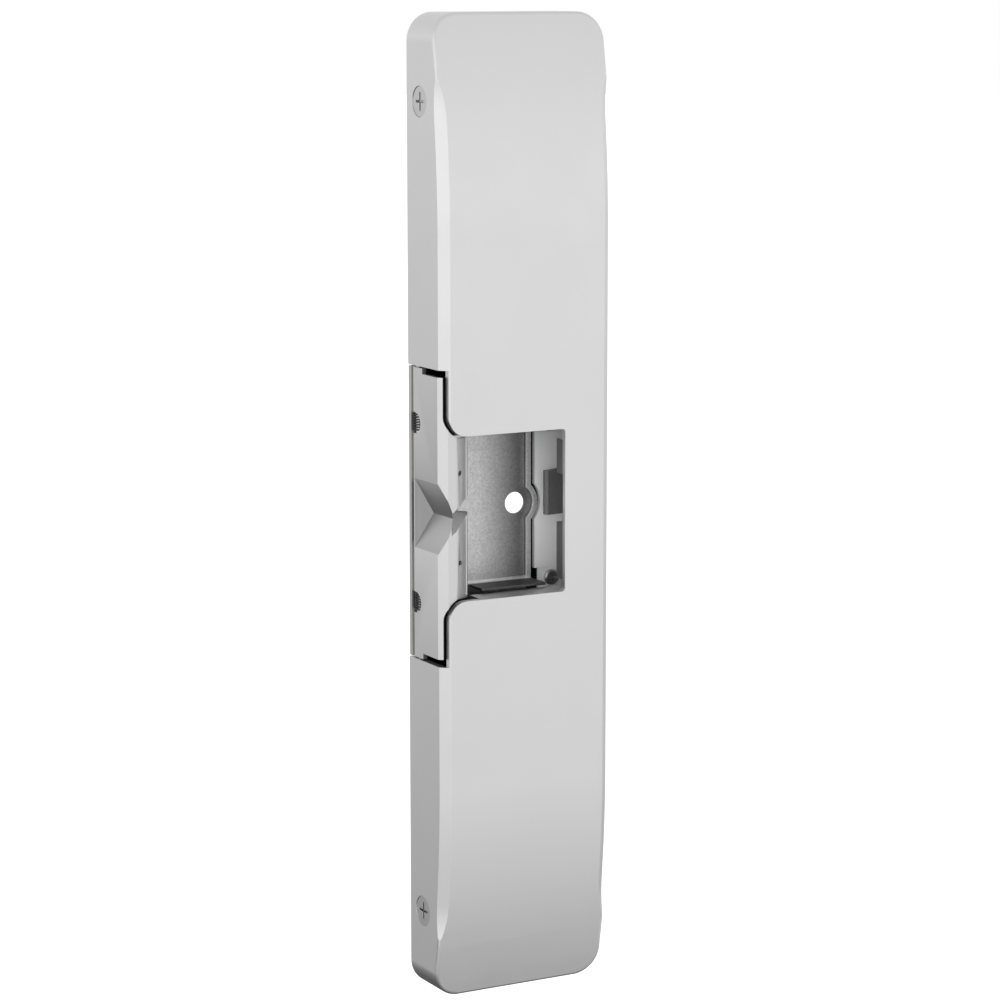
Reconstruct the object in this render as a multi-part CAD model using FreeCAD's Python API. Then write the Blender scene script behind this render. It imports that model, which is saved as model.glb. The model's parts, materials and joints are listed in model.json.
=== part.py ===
import FreeCAD, Part
import math
import os

# Surface-mounted electric door strike for a rim latch. Millimetres.
# X runs across the strike from the keeper side, Y runs into the door frame, Z is up.
# The origin is the centre of the back face, at mid height. The front faces -Y.
# Names ending in _IN are distances measured in from the keeper side, along X.

os.makedirs("parts", exist_ok=True)

# Overall size
HEIGHT = 228.6
WIDTH = 44.45
DEPTH = 17.0
LEFT = -WIDTH / 2
EPS = 1.0                     # how far a cutting tool runs past the surface it cuts
NEAR = 0.01                   # positions closer than this count as the same

# Screws
RECESS_WIDTH = 0.6            # driver recess, as a share of the head's radius
RECESS_DEPTH = 0.7            # and of the head's height
PAN_ROUNDING = 0.45           # edge rounding of a pan head, as a share of its height
HOLE_FIT = 0.02               # what a screw's hole adds to its radius
SINK_FIT = 0.05               # what a countersunk hole adds

# Cover
WALL = 1.8
CROWN_FLAT = 64.0             # the front face is flat this far above and below the middle
CROWN_DROP = 5.3              # then it falls back by this much at each end
CORNER_R = 6.5
BEVEL = 2.1
BEVEL_FULL = 90.0             # the bevel keeps its width this far from the middle
BEVEL_END = 101.0             # and has run out here
BEVEL_MARGIN = 1.5            # the cutting tools run on this far
BEVEL_STEPS = 9
KEEPER_GAP_Z = 34.3           # half height of the opening in the side wall
FRONT_NOTCH_IN = 1.75         # the opening cuts this far into the bevelled front edge
SIDE_CUT_IN = 2.6             # and this far in behind the front wall
MOUTH_Z = 19.1                # half height of the mouth in the front face
MOUTH_RIGHT_IN = 32.0
MOUTH_CORNER_R = 4.5
MOUTH_INNER_R = 0.8
RIM_T = 1.2                   # returned rim round the mouth
RIM_SIDE_DEPTH = 4.0
RIM_END_DEPTH = 6.5
RIM_START_IN = 10.4
RIM_SIDE_HALF = 16.4          # the side wall stops short of the corners
RIM_SLOT_FRONT = -15.85       # slot in it that the monitor's paddle is seen through
RIM_SLOT_GAP = 0.5
END_EDGE_R = 0.8              # small rounding of the front edges
SCREW_Z = 94.4
SCREW_Y = -6.2
SCREW_HEAD_R = 3.5
SCREW_SHANK_R = 1.75
SCREW_HEAD_T = 1.5
SCREW_SINK = 0.15
SCREW_LENGTH = 4.6

# Back plate and tray
PLATE_T = 1.2
PLATE_GAP = 0.3
PLATE_LIP_IN = 0.1            # the plate reaches out this far behind the keeper
PLATE_LIP_Z = 34.0
TRAY_T = 0.6
TRAY_Z = 18.0
TRAY_LEFT_IN = 7.2
RIM_LINE_IN = 29.6            # inner edge of the tray's upturned rim
RIM_W = 1.2
RIM_H = 1.1
BEAD = 0.5                    # raised line at the foot of each end wall
TRAY_WALL_IN = 13.8
TRAY_WALL_Y = -10.0
HOLE_IN = 27.0
HOLE_R = 2.55
HOLE_RELIEF_R = 3.3           # the plate's hole behind it is larger
SCALLOP_R = 4.4               # the rim bends round the fixing hole at this radius
FIXING_Z = 100.0
FIXING_R = 2.75
CABLE_IN = 28.0
CABLE_Z = 45.0
CABLE_R = 6.35
TAB_T = 1.3
TAB_HALF = 5.0
TAB_DEPTH = 10.2
BACK_HEAD_R = 2.3             # small screws driven from the back
BACK_HEAD_T = 1.0
BACK_SHANK_R = 1.2
BACK_SINK = 0.02

# Keeper and hinge
HINGE_IN = 1.5
HINGE_Y = -2.7
PIN_R = 0.8
PIN_HALF = 40.4
PIN_CLEARANCE = 0.04
PIN_CHAMFER = 0.25
PIN_GROOVE_GAP = 0.25         # between the pin and the groove in the cover's side
PIN_END_GAP = 0.5
KNUCKLE_R = 1.4
KNUCKLE_FRONT_Y = -6.8
KEEPER_Z = 32.6
KNUCKLE_Z = 33.9
SWEEP_R = 12.0                # what passes under the cover stays within this of the hinge
LIP_GAP = 0.7
NOTCH_GAP = 0.75
WEB_IN = 6.2
KEEPER_BACK_Y = -1.9
KEEPER_PLAN = [               # (distance in, y) of lines and three-point arcs, from the web to the side
    [(WEB_IN, KEEPER_BACK_Y)],
    [(WEB_IN, -9.6)],
    [(8.25, -11.9), (8.55, -12.8), (7.85, -13.4)],
    [(7.75, -13.45), (5.9, -14.65), (4.0, -15.75)],
    [(1.9, -16.05)],
    [(HINGE_IN - KNUCKLE_R, -14.25)],
]
BLOCK_Z = 20.8                # the end blocks start here
BLOCK_IN = 12.8
GROOVE_Z = 8.4
GROOVE_IN = 3.7
GROOVE_RAMP_Y = -5.4
NOTCH_FRONT_Y = -16.4
NOTCH_TOP = (2.4, 1.0)        # (distance in, z) of the notch's corners on the front
NOTCH_END = (2.4, -4.2)
NOTCH_FAR_IN = 9.0
NOTCH_FAR_TOP = 6.6
NOTCH_FAR_END = -0.6
NOTCH_DEEP_Y = -8.5
SIDE_HOLE_Z = 21.0
SIDE_HOLE_Y = -3.4
SIDE_HOLE_R = 2.4
SPRING_POCKET_R = 1.45
SPRING_POCKET_HALF = 2.5
SPRING_POCKET_FRONT_Y = -3.95
KEEPER_SPRING_TURNS = 7
LIP_HOLE_Z = 10.4
LIP_HOLE_IN = 5.5
LIP_HOLE_R = 0.6
LIP_HOLE_DEPTH = 5.0

# Locking plungers and solenoids, on one axis above and one below the keeper
AXIS_IN = 8.1
AXIS_Y = -7.6
PLUNGER_R = 3.0
BORE_CLEARANCE = 0.05
PLUNGER_TIP = 34.6
PLUNGER_END = 54.0
PLUNGER_NOSE = 0.7
CLIP_T = 1.0
CLIP_R = 4.2
CLIP_GROOVE = 0.6             # depth of the groove that holds the clip
CLIP_SLOT = 2.4
CLIP_FIT = 0.05
SOCKET_END = 27.6
SOCKET_R = 3.25
BEARING_START = 34.9
BEARING_END = 42.9
BEARING_IN = (1.95, 14.8)
BEARING_FRONT = -14.4
BEARING_EDGE_R = 1.0
BEARING_SCREW_IN = (5.0, 12.6)
BEARING_SCREW_LENGTH = 4.0
PUSH_ROD_R = 1.1
PUSH_ROD_GAP = 0.15
FRAME_START = 55.2
FRAME_END = 87.0
FRAME_W = 10.4
FRAME_T = 1.2
FRAME_FRONT = -13.8
FRAME_BEND_R = 1.0
FRAME_SCREW_FROM_END = 6.0
FRAME_SCREW_LENGTH = 2.2
FRAME_ROD_GAP = 0.4
FRAME_CORE_GAP = 0.1
ARMATURE_R = 2.2
END_CAP_R = 3.1
END_CAP_T = 1.0
ARMATURE_START = 71.4
ARMATURE_END = 93.5
POLE_END = 66.0
BOBBIN_BORE_R = 2.3
BOBBIN_TUBE_R = 2.75
FLANGE_R = 4.9
FLANGE_T = 1.0
COIL_R = 4.7
WIRE_R = 0.3                  # plunger springs
SPRING_GAP = 0.2
SPRING_END_GAP = 0.05
PLUNGER_SPRING_TURNS = 6
FINE_WIRE_R = 0.2             # springs on the hinge pin and on the rocker's shaft
FINE_SPRING_GAP = 0.1

# Latch monitor
SHAFT_IN = 40.6
SHAFT_Y = -4.2
SHAFT_R = 1.2
SHAFT_FIT = 0.04
SHAFT_OVERRUN = 0.6           # the shaft sticks out this far below the lower ear
EAR_T = 1.2
EAR_R = 1.9
EAR_REACH = 1.7               # from the shaft to the outer side of an ear
EAR_Z = (-8.4, 18.6)          # lower face of each ear
BRACKET_T = 1.1
BRACKET_IN = (32.1, 42.0)
BRACKET_Z = (-16.0, 37.0)
BRACKET_SCALLOP_R = 6.6       # the bracket's edge clears the tray's collar
BRACKET_SCREW_R = 1.0
BRACKET_HEAD = (1.9, 1.0)     # radius and height of a screw head
BRACKET_SCREW_BELOW = 0.5     # a bracket screw reaches this far into the plate
BRACKET_SCREWS = [(36.8, -18.6), (35.6, 18.4), (40.0, -12.4)]
FOOT_T = 0.5                  # the bracket's lower end steps down to a thin foot
FOOT_IN = (33.3, 41.4)
FOOT_Z = -21.5
SWITCH_SIDE_IN = 30.5         # the bracket widens to here behind the switch
SWITCH_SIDE_Z = 19.0
PADDLE_Z = (-2.7, 7.8)
PADDLE_PLAN = [               # (distance in, y), from the shaft along the front to the tip and back
    (41.7, -4.5), (41.0, -5.8), (33.3, -6.7), (32.7, -6.2), (32.7, -5.4), (39.8, -3.3), (40.6, -3.1),
]
TAIL_IN = (38.6, 40.4)
TAIL_Y = (-8.5, -3.6)
TAIL_HALF = 2.0
ROCKER_SPRING_Z = 10.0
ROCKER_SPRING_LENGTH = 5.0
ROCKER_SPRING_TURNS = 6
SWITCH_IN = (31.0, 37.5)
SWITCH_Y = (-9.1, -3.3)
SWITCH_Z = (22.5, 35.3)
SWITCH_EDGE_R = 0.3
SWITCH_SCREW_IN = 33.65
SWITCH_SCREW_FROM_END = 3.2
SWITCH_HEAD = (1.8, 0.9)
BUTTON_Z = 31.5
BUTTON_Y = -6.9
BUTTON_R = 0.9
BUTTON_LENGTH = 2.4
BUTTON_GAP = 0.15             # between the rocker's tail and the button
BUTTON_ROUNDING = 0.4
BUTTON_FIT = 0.05
BUTTON_WELL_IN = 34.9
TERMINAL_PITCH = 4.2
TERMINAL_LENGTH = 3.0
TERMINAL_Y = (-7.3, -5.1)
TERMINAL_HALF_T = 0.25
TERMINAL_EYE_R = 0.5
TERMINAL_EYE_FROM_BODY = 1.9

# Circuit board
BOARD_IN = (19.5, 39.5)
BOARD_Z = (56.0, 91.0)
BOARD_Y = -4.6
BOARD_T = 1.2
BOARD_SCREW_INSET = 2.4
BOARD_SCREW_R = 1.0
BOARD_SCREW_BELOW = 2.6       # a board screw reaches this far into its spacer
BOARD_HEAD = (1.9, 1.0)
SPACER_R = 2.0
HEADER_IN = (24.2, 34.8)
HEADER_Z = (57.0, 63.6)
HEADER_H = 6.0
HEADER_WALL = 0.8
HEADER_FLOOR = 1.0
HEADER_KEY_HALF = 2.0
HEADER_PINS = 4
HEADER_PITCH = 2.5
HEADER_PIN_HALF = 0.32
RECTIFIER_IN = (22.0, 28.4)
RECTIFIER_Z = (72.0, 80.0)
RECTIFIER_H = 2.4
RECTIFIER_EDGE = 0.4
CAPACITOR_IN = 33.5
CAPACITOR_Z = 80.0
CAPACITOR_R = 3.0
CAPACITOR_H = 5.6
CAPACITOR_ROUNDING = 0.6
SELECTOR_IN = (31.0, 37.0)
SELECTOR_Z = (68.0, 71.0)
SELECTOR_H = 2.2
JUMPER_IN = (31.2, 34.2)
JUMPER_Z = (68.2, 70.8)
JUMPER_H = 3.0

HALF_H = HEIGHT / 2
CROWN_R = ((HALF_H - CROWN_FLAT) ** 2 + CROWN_DROP ** 2) / (2 * CROWN_DROP)
FLOOR_Y = -PLATE_T - TRAY_T
BRACKET_FRONT = -PLATE_T - BRACKET_T
BOARD_FRONT = BOARD_Y - BOARD_T
V = FreeCAD.Vector


def at(distance_in):
    """X of a point this far in from the keeper side."""
    return LEFT + distance_in


def box(x_in, y, z):
    """Block between pairs of limits, with the X limits measured in from the keeper side."""
    size = (x_in[1] - x_in[0], y[1] - y[0], z[1] - z[0])
    return Part.makeBox(size[0], size[1], size[2], V(at(x_in[0]), y[0], z[0]))


def rod(radius, x_in, y, z, direction, length):
    return Part.makeCylinder(radius, length, V(at(x_in), y, z), V(*direction))


def upright(radius, x_in, y, z0, z1):
    """Cylinder along Z."""
    return rod(radius, x_in, y, z0, (0, 0, 1), z1 - z0)


def plan_prism(points, z0, z1):
    """Prism along Z from (distance in, y) corners."""
    loop = [V(at(p[0]), p[1], z0) for p in points]
    face = Part.Face(Part.makePolygon(loop + loop[:1]))
    return face.extrude(V(0, 0, z1 - z0))


def front_prism(points, y0, y1):
    """Prism along Y from (distance in, z) corners."""
    loop = [V(at(p[0]), y0, p[1]) for p in points]
    face = Part.Face(Part.makePolygon(loop + loop[:1]))
    return face.extrude(V(0, y1 - y0, 0))


def join(shapes):
    return shapes[0].multiFuse(shapes[1:]).removeSplitter()


def drill(shape, tools):
    for tool in tools:
        shape = shape.cut(tool)
    return shape


def mirrored(shape):
    """The same piece below the middle."""
    return shape.mirror(V(0, 0, 0), V(0, 0, 1))


def both(shape):
    """The piece above the middle and its twin below, as separate solids."""
    return Part.makeCompound([shape, mirrored(shape)])


def fillet_where(shape, radius, chosen):
    """Round the edges whose bounding box satisfies the test."""
    edges = [edge for edge in shape.Edges if chosen(edge.BoundBox)]
    return shape.makeFillet(radius, edges)


def spring(radius, wire_r, turns, length, x_in, y, z):
    """Helical spring along +Z that starts at height z, measured at the wire's centre."""
    helix = Part.makeLongHelix(length / turns, length, radius)
    start = Part.makeCircle(wire_r, V(radius, 0, 0), V(0, 1, 0))
    coil = Part.Wire(helix.Edges).makePipeShell([Part.Wire([start])], True, True)
    return coil.translated(V(at(x_in), y, z))


def cross_recess(radius, depth):
    """Cross-shaped driver recess, pointing down from the XY plane at the origin."""
    arm = radius / 4
    bars = []
    for along_x in (True, False):
        half = (radius, arm / 2) if along_x else (arm / 2, radius)
        bars.append(Part.makeBox(2 * half[0], 2 * half[1], depth, V(-half[0], -half[1], -depth)))
    return bars[0].fuse(bars[1])


def flat_screw(head_r, shank_r, head_t, length):
    """Countersunk screw along -Z with its head's top on the XY plane."""
    land = head_t / 6
    land_disc = Part.makeCylinder(head_r, land, V(0, 0, -land))
    cone = Part.makeCone(shank_r, head_r, head_t - land, V(0, 0, -head_t))
    shank = Part.makeCylinder(shank_r, length - head_t, V(0, 0, -length))
    solid = join([land_disc, cone, shank])
    return solid.cut(cross_recess(head_r * RECESS_WIDTH, head_t * RECESS_DEPTH))


def screw_hole(head_r, shank_r, head_t, length):
    """Cutter for a countersunk screw along -Z, with running-off space above the XY plane."""
    land = head_t / 6
    head_r += SINK_FIT
    shank_r += SINK_FIT
    land_disc = Part.makeCylinder(head_r, land + EPS, V(0, 0, -land))
    cone = Part.makeCone(shank_r, head_r, head_t - land, V(0, 0, -head_t))
    shank = Part.makeCylinder(shank_r, length, V(0, 0, -length))
    return join([land_disc, cone, shank])


def pan_screw(head_r, shank_r, head_t, length):
    """Pan-head screw along -Z with the underside of its head on the XY plane."""
    head = Part.makeCylinder(head_r, head_t)
    head = head.makeFillet(head_t * PAN_ROUNDING, [head.Edges[0]])
    shank = Part.makeCylinder(shank_r, length, V(0, 0, -length))
    recess = cross_recess(head_r * RECESS_WIDTH, head_t * RECESS_DEPTH)
    return join([head, shank]).cut(recess.translated(V(0, 0, head_t)))


def facing(shape, direction, x_in, y, z):
    """Turn a screw drawn along -Z so that its head faces the direction, and put it in place."""
    turned = shape.copy()
    turned.Placement = FreeCAD.Placement(V(at(x_in), y, z), FreeCAD.Rotation(V(0, 0, 1), V(*direction)))
    return turned


# ---------------------------------------------------------------- cover

def crown_y(z, inset=0.0):
    """Y of the crowned front surface at height z, moved in by inset."""
    beyond = max(0.0, abs(z) - CROWN_FLAT)
    radius = CROWN_R - inset
    return -DEPTH + CROWN_R - math.sqrt(radius ** 2 - beyond ** 2)


def crowned_block(inset):
    """Block with the crowned front, its front, ends and sides moved in by inset."""
    top = HALF_H - inset
    middle = (CROWN_FLAT + top) / 2
    flat = -DEPTH + inset
    x = LEFT + inset

    def upper_arc(sign):
        return Part.Arc(V(x, crown_y(top, inset), sign * top), V(x, crown_y(middle, inset), sign * middle),
                        V(x, flat, sign * CROWN_FLAT)).toShape()

    edges = [
        Part.makeLine(V(x, 0, -top), V(x, 0, top)),
        Part.makeLine(V(x, 0, top), V(x, crown_y(top, inset), top)),
        upper_arc(1),
        Part.makeLine(V(x, flat, CROWN_FLAT), V(x, flat, -CROWN_FLAT)),
        upper_arc(-1),
        Part.makeLine(V(x, crown_y(top, inset), -top), V(x, 0, -top)),
    ]
    face = Part.Face(Part.Wire(Part.__sortEdges__(edges)))
    return face.extrude(V(WIDTH - 2 * inset, 0, 0))


def rounded_prism(inset, y0, y1):
    """Prism along Y with the outline of the strike seen from the front, moved in by inset."""
    outline = Part.makeBox(WIDTH - 2 * inset, y1 - y0, HEIGHT - 2 * inset,
                           V(LEFT + inset, y0, -HALF_H + inset))
    upright_edges = [e for e in outline.Edges if e.BoundBox.YLength > (y1 - y0) / 2]
    return outline.makeFillet(CORNER_R - inset, upright_edges)


def bevel_size(z):
    """Size of the long bevel at height z: constant, then run out near the ends."""
    beyond = max(0.0, abs(z) - BEVEL_FULL) / (BEVEL_END - BEVEL_FULL)
    return BEVEL * (1 - beyond ** 2)


def bevel_section(z, side):
    """Triangle that the bevel takes off the long front edge at height z."""
    edge_x = side * WIDTH / 2
    y = crown_y(z)
    size = bevel_size(z)
    corners = [
        V(edge_x + side * EPS, y + size + EPS, z),
        V(edge_x - side * (size + EPS), y - EPS, z),
        V(edge_x + side * EPS, y - EPS, z),
    ]
    return Part.makePolygon(corners + corners[:1])


def bevel_cutters():
    cutters = []
    for side in (-1, 1):
        middle = Part.Face(bevel_section(-CROWN_FLAT, side)).extrude(V(0, 0, 2 * CROWN_FLAT))
        span = BEVEL_END + BEVEL_MARGIN - CROWN_FLAT
        heights = [CROWN_FLAT + span * i / BEVEL_STEPS for i in range(BEVEL_STEPS + 1)]
        upper = Part.makeLoft([bevel_section(z, side) for z in heights], True, False)
        cutters += [middle, upper, mirrored(upper)]
    return cutters


def mouth_outline(gap, notch_gap, y0, y1):
    """The opening in the front face seen from the front, drawn in by the gaps, as a prism along Y."""
    notch = FRONT_NOTCH_IN - notch_gap
    side_z = KEEPER_GAP_Z - gap
    mouth_z = MOUTH_Z - gap
    outline = front_prism([
        (-EPS, -side_z), (notch, -side_z), (notch, -mouth_z), (MOUTH_RIGHT_IN - gap, -mouth_z),
        (MOUTH_RIGHT_IN - gap, mouth_z), (notch, mouth_z), (notch, side_z), (-EPS, side_z),
    ], y0, y1)

    def near(x_in):
        return lambda b: (b.YLength > (y1 - y0) / 2 and abs(b.XMin - at(x_in)) < NEAR
                          and abs(abs(b.ZMin) - mouth_z) < NEAR)

    outline = fillet_where(outline, MOUTH_CORNER_R + (gap + notch_gap) / 2, near(notch))
    return fillet_where(outline, MOUTH_INNER_R, near(MOUTH_RIGHT_IN - gap))


def mouth_rim():
    """Returned rim: one wall down the right of the mouth and one along each end of it."""
    outer = MOUTH_Z + RIM_T
    right = (MOUTH_RIGHT_IN, MOUTH_RIGHT_IN + RIM_T)
    inside = -DEPTH + WALL / 2
    side_wall = box(right, (inside, -DEPTH + RIM_SIDE_DEPTH), (-RIM_SIDE_HALF, RIM_SIDE_HALF))
    walls = [side_wall]
    for z in ((MOUTH_Z, outer), (-outer, -MOUTH_Z)):
        walls.append(box((RIM_START_IN, right[1]), (inside, -DEPTH + RIM_END_DEPTH), z))
    return walls


def on_front_of_ends(b):
    """True for the front edges beyond the bevels, round the corners and across each end."""
    beyond = min(abs(b.ZMin), abs(b.ZMax)) > BEVEL_END - BEVEL_MARGIN
    at_side = b.XMax < LEFT + NEAR or b.XMin > -LEFT - NEAR
    at_front = b.YMax < crown_y(HALF_H) + NEAR
    return beyond and at_front and (b.XLength > WALL / 2 or at_side)


def make_cover():
    outer = crowned_block(0.0).common(rounded_prism(0.0, -DEPTH - EPS, EPS))
    outer = drill(outer, bevel_cutters())
    outer = fillet_where(outer, END_EDGE_R, on_front_of_ends)
    hollow = crowned_block(WALL).common(rounded_prism(WALL, -DEPTH, EPS))
    shell = outer.cut(hollow)
    shell = join([shell] + mouth_rim())
    shell = shell.cut(mouth_outline(0.0, 0.0, -DEPTH - EPS, -DEPTH + WALL + EPS))
    side = box((-EPS, SIDE_CUT_IN), (-DEPTH + WALL, EPS), (-KEEPER_GAP_Z, KEEPER_GAP_Z))
    slot_z = (PADDLE_Z[0] - RIM_SLOT_GAP, PADDLE_Z[1] + RIM_SLOT_GAP)
    slot = box((MOUTH_RIGHT_IN - EPS, MOUTH_RIGHT_IN + 2 * RIM_T), (RIM_SLOT_FRONT, 0), slot_z)
    pin_end = PIN_HALF + PIN_END_GAP
    groove = hinge_cylinder(PIN_R + PIN_GROOVE_GAP, -pin_end, pin_end)
    shell = drill(shell, [side, slot, groove])
    hole = screw_hole(SCREW_HEAD_R, SCREW_SHANK_R, SCREW_HEAD_T, 2 * WALL)
    return shell.cut(both(facing(hole, (-1, 0, 0), SCREW_SINK, SCREW_Y, SCREW_Z)))


def make_cover_screws():
    screw = flat_screw(SCREW_HEAD_R, SCREW_SHANK_R, SCREW_HEAD_T, SCREW_LENGTH)
    return both(facing(screw, (-1, 0, 0), SCREW_SINK, SCREW_Y, SCREW_Z))


# ---------------------------------------------------------------- back plate and tray

def make_back_plate():
    """Chassis plate that reaches out behind the keeper, with its holes and four side tabs."""
    inset = WALL + PLATE_GAP
    plate = rounded_prism(inset, -PLATE_T, 0)
    tabs = [box((PLATE_LIP_IN, WIDTH / 2), (-PLATE_T, 0), (-PLATE_LIP_Z, PLATE_LIP_Z))]
    for x_in in ((inset, inset + TAB_T), (WIDTH - inset - TAB_T, WIDTH - inset)):
        tab = box(x_in, (-TAB_DEPTH, -PLATE_T / 2), (SCREW_Z - TAB_HALF, SCREW_Z + TAB_HALF))
        tabs += [tab, mirrored(tab)]
    plate = join([plate] + tabs)
    holes = [rod(HOLE_RELIEF_R, HOLE_IN, -DEPTH / 2, 0, (0, 1, 0), DEPTH),
             rod(CABLE_R, CABLE_IN, -DEPTH / 2, CABLE_Z, (0, 1, 0), DEPTH)]
    for z in (FIXING_Z, -FIXING_Z):
        holes.append(rod(FIXING_R, WIDTH / 2, -DEPTH / 2, z, (0, 1, 0), DEPTH))
    for z in (SCREW_Z, -SCREW_Z):
        holes.append(rod(SCREW_SHANK_R, WALL, SCREW_Y, z, (1, 0, 0), 4 * TAB_T))
    for x_in, z in BRACKET_SCREWS:
        holes.append(rod(BRACKET_SCREW_R + HOLE_FIT, x_in, -DEPTH / 2, z, (0, 1, 0), DEPTH))
    plate = drill(plate, holes)
    return drill(plate, back_screw_holes())


def back_screw_places():
    """(distance in, z, length) of each screw driven from the back, above the middle."""
    block_z = (BEARING_START + BEARING_END) / 2
    blocks = [(x_in, block_z, BEARING_SCREW_LENGTH) for x_in in BEARING_SCREW_IN]
    frame_z = (FRAME_START + FRAME_SCREW_FROM_END, FRAME_END - FRAME_SCREW_FROM_END)
    return blocks + [(AXIS_IN, z, FRAME_SCREW_LENGTH) for z in frame_z]


def back_screw_holes():
    hole = screw_hole(BACK_HEAD_R, BACK_SHANK_R, BACK_HEAD_T, PLATE_T + EPS)
    return [both(facing(hole, (0, 1, 0), x_in, -BACK_SINK, z)) for x_in, z, _ in back_screw_places()]


def back_screws(wanted_length):
    """Countersunk screws of one length, with their heads flush in the back of the plate."""
    screws = []
    for x_in, z, length in back_screw_places():
        if length == wanted_length:
            screw = flat_screw(BACK_HEAD_R, BACK_SHANK_R, BACK_HEAD_T, length)
            screws.append(both(facing(screw, (0, 1, 0), x_in, -BACK_SINK, z)))
    return Part.makeCompound(screws)


def make_latch_tray():
    """Blasted floor of the latch cavity with two end walls. Its rim bends round the fixing hole."""
    right = RIM_LINE_IN + RIM_W
    outer = TRAY_Z + TRAY_T
    floor = box((TRAY_LEFT_IN, right), (FLOOR_Y, -PLATE_T), (-outer, outer))
    bulge = rod(SCALLOP_R + RIM_W, HOLE_IN, FLOOR_Y, 0, (0, 1, 0), TRAY_T)
    rim = box((RIM_LINE_IN, right), (FLOOR_Y - RIM_H, FLOOR_Y), (-TRAY_Z, TRAY_Z))
    collar = rod(SCALLOP_R + RIM_W, HOLE_IN, FLOOR_Y - RIM_H, 0, (0, 1, 0), RIM_H)
    inside = rod(SCALLOP_R, HOLE_IN, FLOOR_Y - RIM_H - EPS, 0, (0, 1, 0), RIM_H + EPS)
    rim = rim.fuse(collar).cut(inside)
    rim = rim.cut(box((0, RIM_LINE_IN), (FLOOR_Y - RIM_H - EPS, FLOOR_Y), (-DEPTH, DEPTH)))
    end_wall = box((TRAY_WALL_IN, right), (TRAY_WALL_Y, FLOOR_Y), (TRAY_Z, outer))
    bead = box((TRAY_WALL_IN, RIM_LINE_IN), (FLOOR_Y - BEAD, FLOOR_Y), (TRAY_Z - BEAD, TRAY_Z))
    tray = join([floor, bulge, rim, end_wall, mirrored(end_wall), bead, mirrored(bead)])
    return tray.cut(rod(HOLE_R, HOLE_IN, -DEPTH / 2, 0, (0, 1, 0), DEPTH))


# ---------------------------------------------------------------- keeper and hinge

def hinge_cylinder(radius, z0, z1):
    return upright(radius, HINGE_IN, HINGE_Y, z0, z1)


def keeper_section(front, half):
    """Keeper's outline in plan, from (distance in, y) corners at the front, as a prism along Z."""
    start = V(at(HINGE_IN - KNUCKLE_R), HINGE_Y, -half)
    foot_run = math.sqrt(KNUCKLE_R ** 2 - (KEEPER_BACK_Y - HINGE_Y) ** 2)
    foot = V(at(HINGE_IN + foot_run), KEEPER_BACK_Y, -half)
    back = V(at(HINGE_IN), HINGE_Y + KNUCKLE_R, -half)
    edges = [Part.Arc(start, back, foot).toShape()]
    corners = [foot]
    for piece in front:
        points = [V(at(p[0]), p[1], -half) for p in piece]
        edges.append(Part.makeLine(corners[-1], points[0]))
        if len(points) == 3:
            edges.append(Part.Arc(*points).toShape())
        corners.append(points[-1])
    edges.append(Part.makeLine(corners[-1], start))
    return Part.Face(Part.Wire(edges)).extrude(V(0, 0, 2 * half))


def keeper_body():
    """The side web and lip over the whole height."""
    body = keeper_section(KEEPER_PLAN, KEEPER_Z)
    opening = mouth_outline(LIP_GAP, NOTCH_GAP, -DEPTH - EPS, 0)
    return body.common(opening.fuse(hinge_cylinder(SWEEP_R, -KEEPER_Z, KEEPER_Z)))


def keeper_block():
    """Solid end of the keeper that a plunger locks, above the middle."""
    block = box((SIDE_HOLE_R, BLOCK_IN), (-DEPTH, KEEPER_BACK_Y), (BLOCK_Z, KEEPER_Z))
    block = block.common(hinge_cylinder(SWEEP_R, BLOCK_Z, KEEPER_Z))
    plan = [[(WEB_IN, KEEPER_BACK_Y)], [(WEB_IN, KNUCKLE_FRONT_Y)], [(HINGE_IN - KNUCKLE_R, KNUCKLE_FRONT_Y)]]
    end_zone = box((-EPS, WIDTH), (-DEPTH, EPS), (BLOCK_Z, KNUCKLE_Z))
    return block.fuse(keeper_section(plan, KNUCKLE_Z).common(end_zone))


def groove_cutter():
    """V groove down the side face. A ramp closes it towards the knuckle."""
    outside_z = GROOVE_Z * (1 + EPS / GROOVE_IN)
    wedge = front_prism([(-EPS, outside_z), (GROOVE_IN, 0), (-EPS, -outside_z)], -DEPTH - EPS, EPS)
    ramp_run = GROOVE_RAMP_Y - HINGE_Y
    reach = 5.0
    side = HINGE_IN - KNUCKLE_R
    far = (side + (GROOVE_IN - side) * reach, HINGE_Y + ramp_run * reach)
    ramp = plan_prism([(side, HINGE_Y), far, (-DEPTH, far[1]), (-DEPTH, HINGE_Y)], -DEPTH, DEPTH)
    return wedge.common(ramp)


def inner_notch_cutter():
    """Notch in the lip that opens towards the cavity. Its walls meet in a line behind the front."""
    outline = (NOTCH_TOP, (NOTCH_FAR_IN, NOTCH_FAR_TOP), (NOTCH_FAR_IN, NOTCH_FAR_END), NOTCH_END)
    front = [V(at(x_in), NOTCH_FRONT_Y, z) for x_in, z in outline]
    deep = V(at(NOTCH_FAR_IN), NOTCH_DEEP_Y, (NOTCH_FAR_TOP + NOTCH_FAR_END) / 2)
    loops = [front]
    for i, corner in enumerate(front):
        loops.append([corner, front[(i + 1) % len(front)], deep])
    faces = [Part.Face(Part.makePolygon(loop + loop[:1])) for loop in loops]
    return Part.Solid(Part.Shell(faces))


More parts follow.
